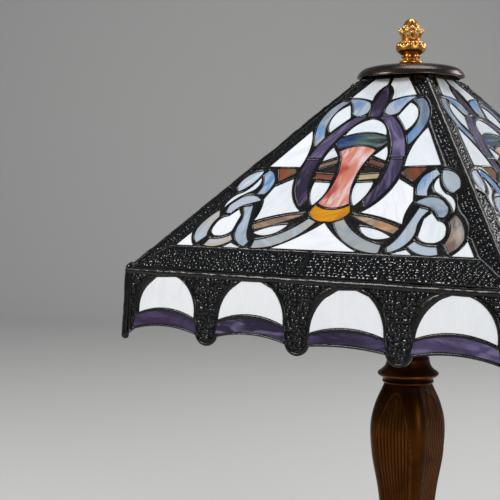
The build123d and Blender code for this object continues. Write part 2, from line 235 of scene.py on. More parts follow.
def fill(outer, holes, spacing, rings=()):
    """A flat mesh of a region: points, triangles, and each point's distance from the edges."""
    loops = [outer if area_of(outer) > 0 else outer[::-1]]
    loops += [h if area_of(h) < 0 else h[::-1] for h in holes]
    edge_tree = tree_on(loops)
    low, high = loops[0].min(axis=0), loops[0].max(axis=0)
    rows = np.arange(low[1], high[1], spacing * sqrt(0.75))
    columns = np.arange(low[0], high[0], spacing)
    across, up = np.meshgrid(columns, rows)
    across[1::2] += spacing / 2
    grid = np.column_stack([across.ravel(), up.ravel()])
    reach = (rings[-1] if rings else 0) + 0.55 * spacing
    grid = grid[distances(grid, edge_tree) > reach]
    beside = [offset_points(loop, -r) for r in rings for loop in loops]
    if beside:
        beside = np.concatenate(beside)
        limits = np.concatenate([np.full(len(loop), r) for r in rings for loop in loops])
        beside = beside[distances(beside, edge_tree) > 0.93 * limits]
        beside = thinned(beside, 0.45 * rings[0] + 0.25)
        grid = np.concatenate([beside, grid])
    points = np.concatenate(loops + [grid[within(grid, loops)]])
    edges, start = [], 0
    for loop in loops:
        n = len(loop)
        edges += [(start + i, start + (i + 1) % n) for i in range(n)]
        start += n
    made = delaunay_2d_cdt([Vector(p) for p in points], edges, [], 0, 1e-4)
    flat = np.array([tuple(p) for p in made[0]])
    triangles = np.array(made[2])
    triangles = triangles[within(flat[triangles].mean(axis=1), loops)]
    clockwise = normals_of(flat, triangles) < 0
    triangles[clockwise] = triangles[clockwise][:, ::-1]
    return flat, triangles, distances(flat, edge_tree)


def slab(flat, triangles, front, back):
    """A closed slab on a flat mesh, from its front and back heights, with walls at the edges."""
    count = len(flat)
    points = np.concatenate([at_height(flat, front), at_height(flat, back)])
    walls = [(j, i, i + count, j + count) for i, j in border_edges(triangles)]
    faces = [tuple(t) for t in triangles.tolist()]
    faces += [tuple(t) for t in (triangles[:, ::-1] + count).tolist()]
    return points, faces + walls


# ---- making pieces

SHARP_ANGLE = radians(48)      # faces that meet at more than this show a crisp edge


def placed(points, matrix):
    """Points in a side's own millimetres, in the row frame's metres."""
    turn = np.array(matrix)
    return (points * MM) @ turn[:3, :3].T + turn[:3, 3]


def smooth_mesh(name, points, faces, materials):
    mesh = bpy.data.meshes.new(name)
    mesh.from_pydata([tuple(p) for p in points], [], faces)
    mesh.polygons.foreach_set("use_smooth", [True] * len(faces))
    for material in materials:
        mesh.materials.append(material)
    return mesh


def linked_object(name, data):
    made = bpy.data.objects.new(name, data)
    bpy.context.scene.collection.objects.link(made)
    return made


def piece(name, points, faces, body, materials, node):
    """A visible piece, in metres, that rides on a body and stands for a CAD node."""
    mesh = smooth_mesh(name, points, faces, materials)
    mesh.update()
    mesh.set_sharp_from_angle(angle=SHARP_ANGLE)
    made = linked_object(name, mesh)
    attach(made, body)
    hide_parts(node)
    return made


def add_attribute(made, name, values):
    """A number, a vector or a colour for each point, by how many values it has."""
    values = np.asarray(values, np.float32).reshape(len(values), -1)
    kinds = {1: ("FLOAT", "value"), 3: ("FLOAT_VECTOR", "vector"), 4: ("FLOAT_COLOR", "color")}
    kind, field = kinds[values.shape[1]]
    made.data.attributes.new(name, kind, "POINT").data.foreach_set(field, values.ravel())


def metal_piece(name, points, faces, body, material, node, relief):
    """A cast or spun piece, in millimetres. Its relief runs from 0 in recesses to 1 on crowns."""
    made = piece(name, points * MM, faces, body, [material], node)
    add_attribute(made, "relief", np.clip(relief, 0, 1))


def joined(parts):
    """Several (points, faces) as one."""
    points, faces, start = [], [], 0
    for p, f in parts:
        points.append(np.asarray(p))
        faces += [tuple(i + start for i in face) for face in f]
        start += len(p)
    return np.concatenate(points), faces


def lumps(points, scale, seed=0):
    """Smooth noise from -1 to 1 at each point, with features about a scale wide."""
    shift = Vector((seed * 13.7, seed * 5.1, seed * 9.3))
    return np.array([noise.noise(Vector(p) / scale + shift) for p in points])


def ring_faces(rings, count):
    """Quads between each ring of count points and the next."""
    faces = []
    for i in range(rings - 1):
        for j in range(count):
            a, b = i * count + j, i * count + (j + 1) % count
            faces.append((a, b, b + count, a + count))
    return faces


def tube_faces(rings, count):
    """The same, closed by one face at each end."""
    last = (rings - 1) * count
    return ring_faces(rings, count) + [tuple(range(count))[::-1], tuple(range(last, last + count))]


def lathe(profile, segments, relief=None):
    """A surface of revolution about Z from (radius, height) points in mm. Relief moves points out."""
    profile = np.array(profile, float)
    angles = np.arange(segments) * 2 * pi / segments
    radius, height = np.repeat(profile.T[:, :, None], segments, axis=2)
    if relief:
        radius = radius + relief(angles, radius, height)
    points = np.stack([radius * np.cos(angles), radius * np.sin(angles), height], axis=2).reshape(-1, 3)
    return points, ring_faces(len(profile), segments)


def through(stations, count):
    """A smooth curve through (x, y) stations, with count points from each station to the next."""
    stations = np.array(stations, float)
    padded = np.vstack([2 * stations[0] - stations[1], stations, 2 * stations[-1] - stations[-2]])
    curve = []
    for i in range(1, len(padded) - 2):
        p0, p1, p2, p3 = padded[i - 1:i + 3]
        t = np.linspace(0, 1, count, endpoint=False)[:, None]
        curve.append(0.5 * (2 * p1 + (p2 - p0) * t + (2 * p0 - 5 * p1 + 4 * p2 - p3) * t ** 2
                            + (3 * p1 - p0 - 3 * p2 + p3) * t ** 3))
    curve.append(stations[-1:])
    return np.concatenate(curve)


def ball(centre, radii, rings, segments):
    """A small ellipsoid for a berry or a blob, as part of a larger mesh."""
    points = []
    for i in range(rings + 1):
        polar = pi * (i + 0.02) / (rings + 0.04)
        for j in range(segments):
            angle = 2 * pi * j / segments
            points.append((centre[0] + radii[0] * sin(polar) * cos(angle),
                           centre[1] + radii[1] * sin(polar) * sin(angle),
                           centre[2] + radii[2] * cos(polar)))
    return np.array(points), [(a, d, c, b) for a, b, c, d in ring_faces(rings + 1, segments)]


# ---- materials

def srgb(red, green, blue):
    """A colour as it looks on a screen, 0 to 255, in the linear values that shaders take."""
    linear = [((c / 255 + 0.055) / 1.055) ** 2.4 if c > 10 else c / 3294.6 for c in (red, green, blue)]
    return (*linear, 1)


class Nodes:
    """Short calls to build one material's nodes."""

    def __init__(self, name):
        self.material = bpy.data.materials.new(name)
        self.material.use_nodes = True
        self.tree = self.material.node_tree
        self.shader = self.tree.nodes["Principled BSDF"]

    def add(self, kind, **settings):
        node = self.tree.nodes.new("ShaderNode" + kind)
        for key, value in settings.items():
            setattr(node, key, value)
        return node

    def link(self, output, target):
        if hasattr(output, "is_output"):
            self.tree.links.new(output, target)
        else:
            target.default_value = output

    def fill(self, node, **values):
        """Sockets of a node by name, with _ for a space: a number, a colour or an output."""
        for key, value in values.items():
            self.link(value, node.inputs[key.replace("_", " ")])

    def attribute(self, name, output="Vector"):
        return self.add("Attribute", attribute_name=name).outputs[output]

    def place(self):
        """The object's own coordinates, in millimetres."""
        return self.scaled(self.add("TexCoord").outputs["Object"], (1 / MM, 1 / MM, 1 / MM))

    def scaled(self, vector, factors):
        node = self.add("VectorMath", operation="MULTIPLY")
        self.link(vector, node.inputs[0])
        self.link(factors, node.inputs[1])
        return node.outputs[0]

    def noise(self, vector, scale, detail=3.0, distortion=0.0):
        node = self.add("TexNoise")
        self.fill(node, Vector=vector, Scale=scale, Detail=detail, Roughness=0.55, Distortion=distortion)
        return node.outputs["Fac"]

    def cells(self, vector, scale, randomness):
        node = self.add("TexVoronoi", feature="F1")
        self.fill(node, Vector=vector, Scale=scale, Randomness=randomness)
        return node.outputs["Distance"]

    def band(self, value, low, high, start=0.0, end=1.0):
        """Value from low to high becomes start to end, smoothly and clamped."""
        node = self.add("MapRange", interpolation_type="SMOOTHSTEP")
        self.fill(node, Value=value, From_Min=low, From_Max=high, To_Min=start, To_Max=end)
        return node.outputs["Result"]

    def math(self, operation, a, b):
        node = self.add("Math", operation=operation)
        self.link(a, node.inputs[0])
        self.link(b, node.inputs[1])
        return node.outputs[0]

    def mix(self, factor, a, b, blend="MIX"):
        node = self.add("Mix", data_type="RGBA", blend_type=blend)
        self.link(factor, node.inputs["Factor"])
        self.link(a, node.inputs[6])
        self.link(b, node.inputs[7])
        return node.outputs[2]

    def bump(self, height, distance_mm, strength):
        node = self.add("Bump")
        self.fill(node, Strength=strength, Distance=distance_mm * MM, Height=height)
        self.fill(self.shader, Normal=node.outputs["Normal"])

    def set(self, **values):
        """The shader's sockets, which complete the material."""
        self.fill(self.shader, **values)
        return self.material


def streaky_glass(name, streak_amount, blush_amount, roughness):
    """Rolled opalescent glass: wisps of a second and third colour along each pane's own streaks."""
    m = Nodes(name)
    flow = m.attribute("flow")
    wisps = m.noise(m.scaled(flow, (0.035, 0.16, 1)), 1.0, 4.0, 0.7)
    clouds = m.noise(m.scaled(flow, (0.03, 0.06, 1)), 1.0, 2.0, 0.4)
    fine = m.noise(m.scaled(flow, (0.08, 0.9, 1)), 1.0, 3.0, 0.2)
    streaks = m.math("MULTIPLY", m.band(wisps, 0.44, 0.66), streak_amount)
    base = m.mix(streaks, m.attribute("tint", "Color"), m.attribute("streak", "Color"))
    blushes = m.math("MULTIPLY", m.band(clouds, 0.48, 0.7), blush_amount)
    base = m.mix(blushes, base, m.attribute("blush", "Color"))
    base = m.mix(m.band(fine, 0.3, 0.75, 0.0, 0.12), base, (0.62, 0.62, 0.66, 1), "MULTIPLY")
    ripple = m.noise(m.scaled(flow, (0.05, 0.11, 1)), 1.0, 3.0)
    m.bump(ripple, 0.5, 0.35)
    rough = m.band(clouds, 0.3, 0.7, roughness * 0.7, roughness * 1.4)
    return m.set(Base_Color=base, Roughness=rough, IOR=1.5, Specular_IOR_Level=0.5, Coat_Weight=0.25,
                 Coat_Roughness=0.06)


def textured_black_glass(name, stretch, randomness, depth, gloss):
    """Near-black cathedral glass with a rolled-in texture of small raised dots, their crowns painted lighter
    as a painted highlight.
    """
    m = Nodes(name)
    flow = m.attribute("flow")
    dots = m.cells(m.scaled(flow, (stretch, 1, 1)), 0.46, randomness)
    domes = m.band(dots, 0.0, 0.36, 1.0, 0.0)
    grit = m.noise(flow, 0.9, 3.0)
    m.bump(m.math("ADD", m.math("MULTIPLY", grit, 0.06), domes), depth, 1.0)
    tint = m.mix(m.band(m.noise(flow, 0.05, 3.0), 0.4, 0.7), srgb(4, 4, 5), srgb(8, 9, 13))
    # Painted highlight: the raised dots' crowns are painted a lighter grey, so the dots show as lit at every
    # angle.
    tint = m.mix(m.band(m.attribute("relief", "Fac"), 0.15, 0.8), tint, srgb(24, 25, 27))
    rough = m.band(grit, 0.35, 0.7, 0.04, 0.1)
    return m.set(Base_Color=tint, Roughness=rough, IOR=1.52, Specular_IOR_Level=gloss)


def patina_solder():
    """Tin-lead solder blackened by patina, worn brown and bright in scattered specks."""
    m = Nodes("patina_solder")
    place = m.place()
    cloud = m.noise(place, 0.06, 5.0, 0.3)
    speck = m.noise(place, 0.7, 4.0)
    dark = m.mix(m.band(cloud, 0.4, 0.65), srgb(18, 17, 17), srgb(32, 30, 28))
    worn = m.mix(m.band(speck, 0.62, 0.85), dark, srgb(84, 79, 73))
    rough = m.band(speck, 0.3, 0.7, 0.2, 0.36)
    m.bump(m.math("ADD", m.noise(place, 0.4, 3.0), m.math("MULTIPLY", speck, 0.35)), 0.6, 0.6)
    return m.set(Base_Color=worn, Metallic=0.7, Roughness=rough, Coat_Weight=0.35, Coat_Roughness=0.16)


def aged_metal(name, recess, body, crown, roughness, scratch):
    """Cast or spun metal: dark in its recesses, brighter on its crowns, mottled with age."""
    m = Nodes(name)
    place = m.place()
    patches = m.noise(place, 0.035, 5.0, 0.6)
    speck = m.noise(place, 0.8, 4.0)
    raised = m.attribute("relief", "Fac")
    base = m.mix(m.band(raised, 0.0, 0.5), recess, body)
    rubbed = m.math("MULTIPLY", m.band(raised, 0.45, 1.0), m.band(speck, 0.3, 0.6, 0.5, 1.0))
    base = m.mix(rubbed, base, crown)
    base = m.mix(m.band(patches, 0.42, 0.72, 0.0, 0.45), base, recess)
    rough = m.math("ADD", m.band(speck, 0.3, 0.75, roughness * 0.8, roughness * 1.3),
                   m.band(patches, 0.4, 0.75, 0.0, 0.12))
    m.bump(m.math("ADD", m.math("MULTIPLY", speck, 0.4), m.noise(place, 0.25, 3.0)), 0.25, scratch)
    return m.set(Base_Color=base, Metallic=1.0, Roughness=rough)


def plain_metal(name, colour, worn, roughness, grain=(1, 1, 1)):
    """Machined or plated metal for the hardware inside, with brushed grain and handling marks."""
    m = Nodes(name)
    place = m.scaled(m.place(), grain)
    brush = m.noise(place, 0.9, 4.0)
    marks = m.noise(place, 0.09, 4.0, 0.5)
    base = m.mix(m.band(marks, 0.45, 0.7), colour, worn)
    m.bump(brush, 0.06, 0.5)
    rough = m.band(brush, 0.3, 0.7, roughness * 0.75, roughness * 1.3)
    return m.set(Base_Color=base, Metallic=1.0, Roughness=rough)


def frosted_glass():
    m = Nodes("frosted_bulb_glass")
    haze = m.noise(m.place(), 0.05, 3.0)
    base = m.mix(m.band(haze, 0.35, 0.65), srgb(238, 236, 230), srgb(248, 248, 246))
    m.bump(m.noise(m.place(), 2.5, 2.0), 0.05, 0.3)
    return m.set(Base_Color=base, Roughness=m.band(haze, 0.3, 0.7, 0.32, 0.45), Subsurface_Weight=0.3,
                 Subsurface_Scale=0.01)


def felt():
    m = Nodes("felt")
    fibres = m.noise(m.scaled(m.place(), (1, 1, 0.4)), 1.6, 5.0, 1.2)
    base = m.mix(fibres, srgb(30, 46, 36), srgb(58, 78, 62))
    m.bump(fibres, 0.5, 0.8)
    return m.set(Base_Color=base, Roughness=0.95, Sheen_Weight=0.4)


def moulded_plastic():
    m = Nodes("grommet_plastic")
    grain = m.noise(m.place(), 1.8, 3.0)
    base = m.mix(grain, srgb(28, 25, 22), srgb(44, 39, 34))
    m.bump(grain, 0.08, 0.4)
    return m.set(Base_Color=base, Roughness=m.band(grain, 0.3, 0.7, 0.35, 0.55))


SOLDER = patina_solder()
# Each family's slot and glass, by how much its streaks and blushes show and its roughness.
STREAKY = {family: (slot, [streaky_glass(slot, *amounts)]) for family, slot, *amounts in (
    ("white", "white_opal_glass", 0.35, 0.3, 0.16),
    ("blue", "blue_streaky_glass", 0.8, 0.7, 0.15),
    ("purple", "purple_streaky_glass", 0.85, 0.6, 0.14),
    ("accent", "accent_glass", 0.9, 0.8, 0.14),
)}
BLACK_GRANITE = textured_black_glass("black_granite_glass", 1.0, 0.85, 0.65, 0.36)
BLACK_RIPPLE = textured_black_glass("black_ripple_glass", 0.42, 0.6, 0.2, 0.42)
CAP_METAL = aged_metal("dark_bronze_cap", srgb(18, 15, 14), srgb(52, 45, 43), srgb(88, 76, 70), 0.24, 0.2)
GILT = aged_metal("gilt_finial", srgb(136, 74, 20), srgb(212, 144, 62), srgb(255, 214, 146), 0.27, 0.08)
CAST_GOLD = aged_metal("antique_gold_cast", srgb(26, 12, 4), srgb(76, 42, 14), srgb(128, 78, 32), 0.33, 0.5)
BRASS = plain_metal("brass_hardware", srgb(196, 156, 84), srgb(150, 112, 58), 0.26)
STEEL = plain_metal("steel_rod", srgb(150, 150, 150), srgb(98, 94, 90), 0.34, (1, 1, 6))
BULB_METAL = plain_metal("bulb_base_metal", srgb(190, 188, 182), srgb(140, 136, 128), 0.3)
FROSTED = frosted_glass()
FELT = felt()
PLASTIC = moulded_plastic()


# ---- solder network of a side

BEAD_REACH = 1.7            # from the glass to where a bead is at its full height
BEAD_CROWN = 1.35
BEAD_FOOT = 0.95            # the bead meets the glass this far below the reference plane
SHEET_BACK = 3.0            # the inside lies this far below it
INNER_CROWN = 0.9
SHEET_STEP = 1.25
SHEET_RINGS = (0.45, 1.05)  # extra points run beside every edge, this far in


def solder_sheet(name, side_frame, rounded_rim):
    """One side's solder as a closed sheet of soft beads, in the side's own millimetres."""
    loops = sorted(outlines(name, side_frame), key=lambda loop: -abs(area_of(loop)))
    loops = [rounded(loop, SHEET_STEP) for loop in loops]
    flat, triangles, distance = fill(loops[0], loops[1:], SHEET_STEP, SHEET_RINGS)
    if not rounded_rim:
        distance = distances(flat, tree_on(loops[1:]))
    share = np.clip(distance / BEAD_REACH, 0, 1)
    dome = np.sqrt(1 - (1 - share) ** 2)
    puddle = 0.22 * np.clip(distance - BEAD_REACH, 0, 2.5)
    spots = at_height(flat, 0)
    wobble = dome * (0.16 * lumps(spots, 6.0, 1) + 0.1 * lumps(spots, 2.6, 2))
    front = -BEAD_FOOT + BEAD_CROWN * dome + puddle + wobble
    back = -SHEET_BACK - INNER_CROWN * dome + wobble
    return slab(flat, triangles, front, back)


def add_solder_nets():
    for name, side_frame, rim in (("solder_net", SLOPE, False), ("skirt_solder_net", WALL, True)):
        points, faces = solder_sheet("front_" + name, side_frame, rim)
        for side, turn in zip(SIDES, SIDE_TURNS):
            node = f"{side}_{name}"
            turned = placed(points, turn @ side_frame)
            piece(node + "_beads", turned, faces, "shade", [SOLDER], node)


# ---- panes of glass

GLASS_FRONT, GLASS_BACK = -0.6, -3.4        # the panes' faces, below the reference plane

MILK = srgb(232, 238, 243)
SNOW = srgb(246, 249, 252)
LILAC_MIST = srgb(214, 214, 232)
PALE_BLUE = srgb(176, 191, 206)
SKY = srgb(100, 143, 198)
STEEL_BLUE = srgb(142, 154, 168)
SLATE = srgb(102, 117, 138)
MIST_BLUE = srgb(158, 173, 190)
LILAC_GREY = srgb(186, 190, 206)
GREY = srgb(164, 169, 171)
BEIGE = srgb(190, 178, 160)
SAND = srgb(198, 176, 140)
VIOLET = srgb(79, 67, 102)
DEEP_VIOLET = srgb(44, 34, 58)
LAVENDER = srgb(122, 112, 148)
PLUM = srgb(56, 40, 66)
COBALT = srgb(26, 58, 118)
TEAL = srgb(62, 92, 88)
SEA_GREY = srgb(110, 126, 120)
INK = srgb(34, 38, 44)
SALMON = srgb(210, 128, 112)
RED = srgb(166, 56, 42)
PINK_WHITE = srgb(232, 208, 204)
AMBER = srgb(202, 132, 14)
GOLD = srgb(224, 156, 24)
BURNT = srgb(150, 92, 14)
MAUVE_BROWN = srgb(120, 98, 90)
RUST = srgb(132, 68, 42)
RED_BROWN = srgb(104, 60, 46)
KHAKI = srgb(172, 158, 128)
OXBLOOD = srgb(62, 34, 28)
BLACK_RED = srgb(38, 24, 20)
OLIVE_BROWN = srgb(100, 62, 42)
TAN = srgb(178, 134, 94)
BROWN_MAUVE = srgb(140, 116, 100)
CLAY = srgb(196, 160, 124)
BRICK = srgb(144, 74, 50)
WISP = srgb(100, 88, 124)
OLIVE = srgb(112, 98, 66)

# Where a pane lies (u, v in mm on its side), the angle of its streaks, and its three colours.
# Some have washes too: a colour, its middle (u, v) and how far it reaches.
PANES = {
    "white": [
        (0, 180, 10, MILK, SNOW, LILAC_MIST), (0, 46, 5, SNOW, MILK, LILAC_MIST),
        (-15, 232, 80, MILK, SNOW, PALE_BLUE), (15, 232, 95, MILK, LILAC_MIST, SNOW),
        (-38, 195, 60, MILK, SNOW, PALE_BLUE), (38, 195, 120, MILK, SNOW, LILAC_MIST),
        (-29, 147, 30, MILK, GREY, LILAC_MIST), (29, 147, 150, MILK, LILAC_MIST, SNOW),
        (-24, 100, 80, MILK, LILAC_MIST, SNOW), (24, 100, 100, MILK, LILAC_MIST, SNOW),
        (-67, 147, 35, SNOW, MILK, LILAC_MIST), (67, 147, 145, MILK, SNOW, LILAC_MIST),
        (-62, 93, 60, MILK, LILAC_MIST, SNOW), (62, 93, 120, SNOW, LILAC_MIST, MILK),
        (-55, 55, 10, MILK, SNOW, LILAC_MIST), (55, 55, 170, MILK, SNOW, LILAC_MIST),
        (-104, 103, 60, MILK, LILAC_MIST, SNOW), (104, 103, 120, MILK, LILAC_GREY, SNOW),
        (-109, 58, 80, SNOW, LILAC_MIST, MILK), (109, 58, 100, MILK, LILAC_MIST, SNOW),
        (-90, 34, 0, MILK, LILAC_GREY, SNOW), (90, 34, 0, MILK, LILAC_GREY, SNOW),
        (-144, 38, 60, SNOW, MILK, LILAC_MIST), (144, 38, 120, MILK, SNOW, LILAC_MIST),
    ],
    "blue": [
        (-20, 207, 70, PALE_BLUE, STEEL_BLUE, SKY, [(SKY, -25, 213, 7)]),
        (20, 207, 110, MIST_BLUE, PALE_BLUE, LILAC_GREY, [(SKY, 23, 215, 9)]),
        (-50, 187, 75, STEEL_BLUE, PALE_BLUE, SLATE, [(SKY, -55, 176, 8)]),
        (50, 187, 105, SLATE, STEEL_BLUE, SKY, [(SKY, 52, 172, 10)]),
        (-40, 50, 150, GREY, PALE_BLUE, BEIGE), (40, 50, 30, GREY, STEEL_BLUE, BEIGE),
        (-86, 58, 80, PALE_BLUE, STEEL_BLUE, MIST_BLUE), (86, 58, 100, PALE_BLUE, MIST_BLUE, BEIGE),
        (-84, 110, 70, SKY, PALE_BLUE, STEEL_BLUE), (84, 110, 100, PALE_BLUE, SKY, LILAC_GREY),
        (-106, 112, 40, PALE_BLUE, LILAC_GREY, MILK), (106, 112, 140, PALE_BLUE, LILAC_GREY, GREY),
        (-99, 88, 20, LILAC_GREY, PALE_BLUE, GREY), (99, 88, 160, MIST_BLUE, STEEL_BLUE, SLATE),
        (-129, 55, 70, PALE_BLUE, GREY, BEIGE), (129, 55, 110, MAUVE_BROWN, GREY, BEIGE),
        (-107, 38, 0, BEIGE, LILAC_GREY, LILAC_GREY), (107, 38, 0, PALE_BLUE, LILAC_GREY, BEIGE),
    ],
    "purple": [
        (-32, 173, 60, VIOLET, LAVENDER, DEEP_VIOLET),
        (32, 173, 120, VIOLET, LAVENDER, DEEP_VIOLET, [(LAVENDER, 40, 158, 6)]),
        (-45, 112, 80, DEEP_VIOLET, WISP, PLUM), (45, 112, 100, DEEP_VIOLET, WISP, VIOLET),
        (0, 212, 90, DEEP_VIOLET, PLUM, LAVENDER),
    ],
    "accent": [
        (0, 162, 0, TEAL, SEA_GREY, INK, [(COBALT, -21, 158, 16), (INK, 22, 159, 13)]),
        (0, 119, 84, SALMON, PINK_WHITE, SALMON,
         [(RED, -6, 126, 7), (RED, -9, 102, 11), (PINK_WHITE, 11, 141, 7)]),
        (0, 76, 15, AMBER, GOLD, BURNT),
        (-26, 135, 15, MAUVE_BROWN, BROWN_MAUVE, OLIVE_BROWN),
        (26, 135, 165, RED_BROWN, MAUVE_BROWN, OXBLOOD),
        (-21, 128, 0, BLACK_RED, OXBLOOD, BLACK_RED), (21, 128, 0, BLACK_RED, OXBLOOD, BLACK_RED),
        (-24, 119, 0, RUST, RED_BROWN, MAUVE_BROWN), (24, 119, 0, KHAKI, SAND, BROWN_MAUVE),
        (-67, 123, 60, BRICK, RUST, OLIVE_BROWN, [(OLIVE, -63, 130, 8)]),
        (67, 123, 120, OLIVE_BROWN, RUST, RED_BROWN),
        (-52, 65, 160, BROWN_MAUVE, MAUVE_BROWN, CLAY),
        (52, 65, 20, BROWN_MAUVE, CLAY, BEIGE, [(TAN, 62, 62, 8)]),
    ],
}

# The skirt's panes, bay by bay from the left.
SKIRT_WHITES = [(90, srgb(249, 251, 254), SNOW, srgb(230, 232, 245))] * 4
SKIRT_PURPLES = [(0, PLUM, VIOLET, DEEP_VIOLET), (0, DEEP_VIOLET, LAVENDER, PLUM),
                 (0, DEEP_VIOLET, VIOLET, PLUM), (0, VIOLET, LAVENDER, DEEP_VIOLET)]


def bay_of(loop):
    """Which of the skirt's four bays a pane lies in, from 0 at the left."""
    return int(loop[:, 0].mean() // (SHOULDER_HALF / 2)) + 2


def colours_of(family, centre):
    """The streak angle and colours of the listed pane that is nearest to this one."""
    nearest = min(PANES[family], key=lambda row: dist(row[:2], centre))
    return nearest[2:]


def dot_relief(points, pitch, jitter, size, seed):
    """Heights from 0 to 1 of rounded dots on a jittered grid. Pitch and jitter are along and across."""
    cell = np.floor(points / pitch).astype(int)
    height = np.zeros(len(points))
    for di in (-1, 0, 1):
        for dj in (-1, 0, 1):
            i, j = cell[:, 0] + di, cell[:, 1] + dj
            mixed = (i * 73856093) ^ (j * 19349663) ^ (seed * 83492791)
            shift = np.stack([(mixed % 1009) / 1009, (mixed // 7 % 997) / 997], axis=1) - 0.5
            centre = (np.stack([i, j], axis=1) + 0.5 + jitter * shift) * pitch
            reach = size * (0.8 + 0.4 * ((mixed // 13) % 101) / 101)
            away = np.linalg.norm((points - centre) / pitch, axis=1) / reach
            height = np.maximum(height, 1 - away ** 2)
    return height


def turned_flow(flat, angle, seed):
    """A pane's coordinates along and across its streaks, with a seed as the third."""
    c, s = cos(radians(angle)), sin(radians(angle))
    along, across = flat[:, 0] * c + flat[:, 1] * s, flat[:, 1] * c - flat[:, 0] * s
    return np.column_stack([along, across, np.full(len(flat), seed)])


def smooth_pane(loop, look, seed):
    """One hand-rolled pane: (points, faces, attributes). It lies a little tilted in its leads."""
    angle, tint, streak, blush, *washes = look
    flat, triangles, distance = fill(rounded(loop, 2.2), [], 3.0)
    tilt = np.random.default_rng(seed).uniform(-0.012, 0.012, 2)
    spots = at_height(flat, seed * 3.1)
    waves = 0.22 * lumps(spots, 16.0) + 0.07 * lumps(spots, 6.0)
    lift = (flat - flat.mean(axis=0)) @ tilt
    lift = np.clip(lift, -0.25, 0.25) * np.clip(distance / 3, 0.4, 1)
    front = GLASS_FRONT + waves * np.clip(distance / 4, 0, 1) + lift
    points, faces = slab(flat, triangles, front, GLASS_BACK)
    both = np.concatenate([flat, flat])
    count = len(points)
    tints = np.tile(tint, (count, 1))
    for colour, u, v, reach in washes[0] if washes else ():
        away = np.linalg.norm(both - (u, v), axis=1) / reach + 0.35 * lumps(points, 7.0, 9)
        share = np.clip(1.5 - away, 0, 1)[:, None]
        tints = tints * (1 - share) + np.array(colour) * share
    return points, faces, {"flow": turned_flow(both, angle, seed * 1.7), "tint": tints,
                           "streak": np.tile(streak, (count, 1)), "blush": np.tile(blush, (count, 1))}


RIPPLE_DOTS = ((4.4, 2.9), (0.95, 0.12), 0.43)      # pitch and jitter (along, across), size
GRANITE_DOTS = ((3.8, 3.4), (0.75, 0.7), 0.35)
DOT_HEIGHT = 0.8


def dotted_pane(loop, angle, rows, seed):
    """One pane of black textured glass, its dots raised in the mesh. They may run in wavy rows."""
    flat, triangles, distance = fill(rounded(loop, 1.1), [], 0.8 if rows else 0.95)
    flow = turned_flow(flat, angle, seed)
    if rows:
        wander = 1.4 * lumps(at_height(flat * (1, 0.4), 0), 30.0, 6)
        relief = 0.7 * dot_relief(flow[:, :2] + wander[:, None] * (0, 1), *RIPPLE_DOTS, seed)
    else:
        relief = dot_relief(flow[:, :2], *GRANITE_DOTS, seed)
    spots = at_height(flat, seed * 2.3)
    waves = 0.25 * lumps(spots, 14.0) + 0.08 * lumps(spots, 3.5)
    front = GLASS_FRONT - 0.25 + (DOT_HEIGHT * relief + waves) * np.clip(distance / 1.2, 0, 1)
    points, faces = slab(flat, triangles, front, GLASS_BACK)
    return points, faces, {"flow": np.concatenate([flow, flow]), "relief": np.concatenate([relief, relief])}


def add_panes(node, parts, turned, slot, materials, material_of=None):
    """Joins panes into the piece that stands for a CAD glass node on one side."""
    points, faces = joined([(p, f) for p, f, _ in parts])
    made = piece(node + "_panes", placed(points, turned), faces, "shade", materials, node)
    for key in parts[0][2]:
        add_attribute(made, key, np.concatenate([values[key] for _, _, values in parts]))
    if material_of:
        indices = np.concatenate([np.full(len(f), k) for k, (_, f, _) in zip(material_of, parts)])
        made.data.polygons.foreach_set("material_index", indices.astype(np.int32))


def black_look(loop):
    """A black pane's streak angle and whether its texture runs in rows."""
    u, v = loop.mean(axis=0)
    if v < 0:
        return 90, False
    if v < 32 and abs(u) > 20:
        return 0, u > 0
    return 55 if u < 0 else 125, u > 0


def black_loops(name):
    """The black node holds panes on the slope and on the skirt: each plane and its outlines."""
    on_slope = [loop for loop in outlines(name, SLOPE) if loop[:, 1].min() > 0]
    on_wall = [loop for loop in outlines(name, WALL) if loop[:, 1].max() < 0]
    return (SLOPE, on_slope), (WALL, on_wall)


def add_black_glass(side, turn, planes, seed):
    parts, rows = [], []
    for side_frame, loops in planes:
        for k, loop in enumerate(loops):
            angle, in_rows = black_look(loop)
            points, faces, values = dotted_pane(loop, angle, in_rows, seed + k)
            parts.append((placed(points, side_frame) / MM, faces, values))
            rows.append(int(in_rows))
    add_panes(side + "_black_glass", parts, turn, "black_textured_glass", [BLACK_GRANITE, BLACK_RIPPLE], rows)


def add_glass():
    slope_loops = {family: outlines(f"front_{family}_glass", SLOPE) for family in STREAKY}
    arches = outlines("front_skirt_white_glass", WALL)
    crescents = outlines("front_skirt_purple_glass", WALL)
    black = black_loops("front_black_glass")
    for i, (side, turn) in enumerate(zip(SIDES, SIDE_TURNS)):
        for family, loops in slope_loops.items():
            parts = [smooth_pane(loop, colours_of(family, loop.mean(axis=0)), 40 * i + k + 1)
                     for k, loop in enumerate(loops)]
            add_panes(f"{side}_{family}_glass", parts, turn @ SLOPE, *STREAKY[family])
        for family, loops, looks in (("white", arches, SKIRT_WHITES), ("purple", crescents, SKIRT_PURPLES)):
            parts = [smooth_pane(loop, looks[bay_of(loop)], 200 + 10 * i + k) for k, loop in enumerate(loops)]
            add_panes(f"{side}_skirt_{family}_glass", parts, turn @ WALL, *STREAKY[family])
        add_black_glass(side, turn, black, 300 + 20 * i)


# ---- solder runs along the edges

RUN_R = 3.7                 # shoulder and corners
HIP_R = 3.0
RUN_STEP = 2.0              # between the rings of points along a run
RUN_SIDES = 16
RUN_SINK = 2.3              # the run's centre line, inside the edge
SKIRT_DEPTH = 66.0
SKIRT_SPLAY = 3.0
HIP_END_HALF = 39.0         # where the hips reach the cap


